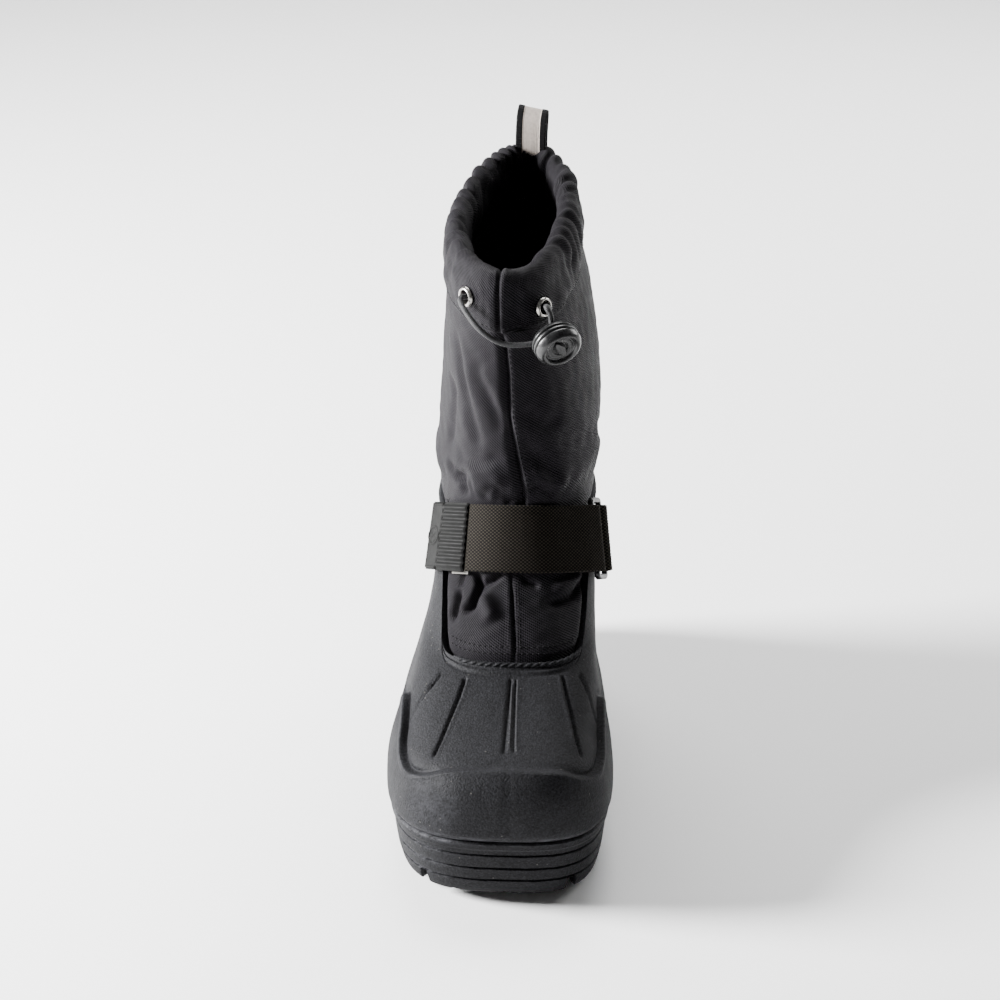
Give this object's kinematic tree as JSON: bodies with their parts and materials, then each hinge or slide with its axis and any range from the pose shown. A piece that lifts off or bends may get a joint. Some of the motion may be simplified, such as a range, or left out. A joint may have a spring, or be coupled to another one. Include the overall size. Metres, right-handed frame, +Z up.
{
  "type": "insulated snow boot",
  "caption": "Right-foot pull-on snow boot: moulded rubber galosh on a lugged sole, padded nylon shaft, drawcord collar with cord lock, hook-and-loop instep strap and heel pull loop.",
  "frame": {"origin": "on the ground under the middle of the boot's bounding box, the boot standing on its sole", "axes": "+Z up along the shaft, -Y towards the toe, +X towards the inner side (the big toe of a right foot)"},
  "size_m": [0.1148, 0.2972, 0.33],
  "materials": {
    "sole_rubber": "matte, fine grain",
    "galosh_rubber": "matte, fine grain",
    "felt": "pile",
    "nylon": "matte twill",
    "eyelet_steel": "nickel plated",
    "cord": "round elastic braid",
    "hard_plastic": "semi gloss",
    "webbing": "coarse weave",
    "soft_plastic": "ribbed, matte",
    "tape": "striped woven tape"
  },
  "bodies": {
    "root": {"outsole": "sole_rubber", "galosh": "galosh_rubber", "insole": "felt", "shaft": "nylon", "collar_casing": "nylon", "eyelet_outer": "eyelet_steel", "eyelet_inner": "eyelet_steel", "drawcord_outer": "cord", "drawcord_inner": "cord", "cord_lock": "hard_plastic", "strap": "webbing", "strap_tip": "soft_plastic", "strap_ring": "hard_plastic", "ring_keeper": "webbing", "pull_loop": "tape"}
  },
  "joints": []
}
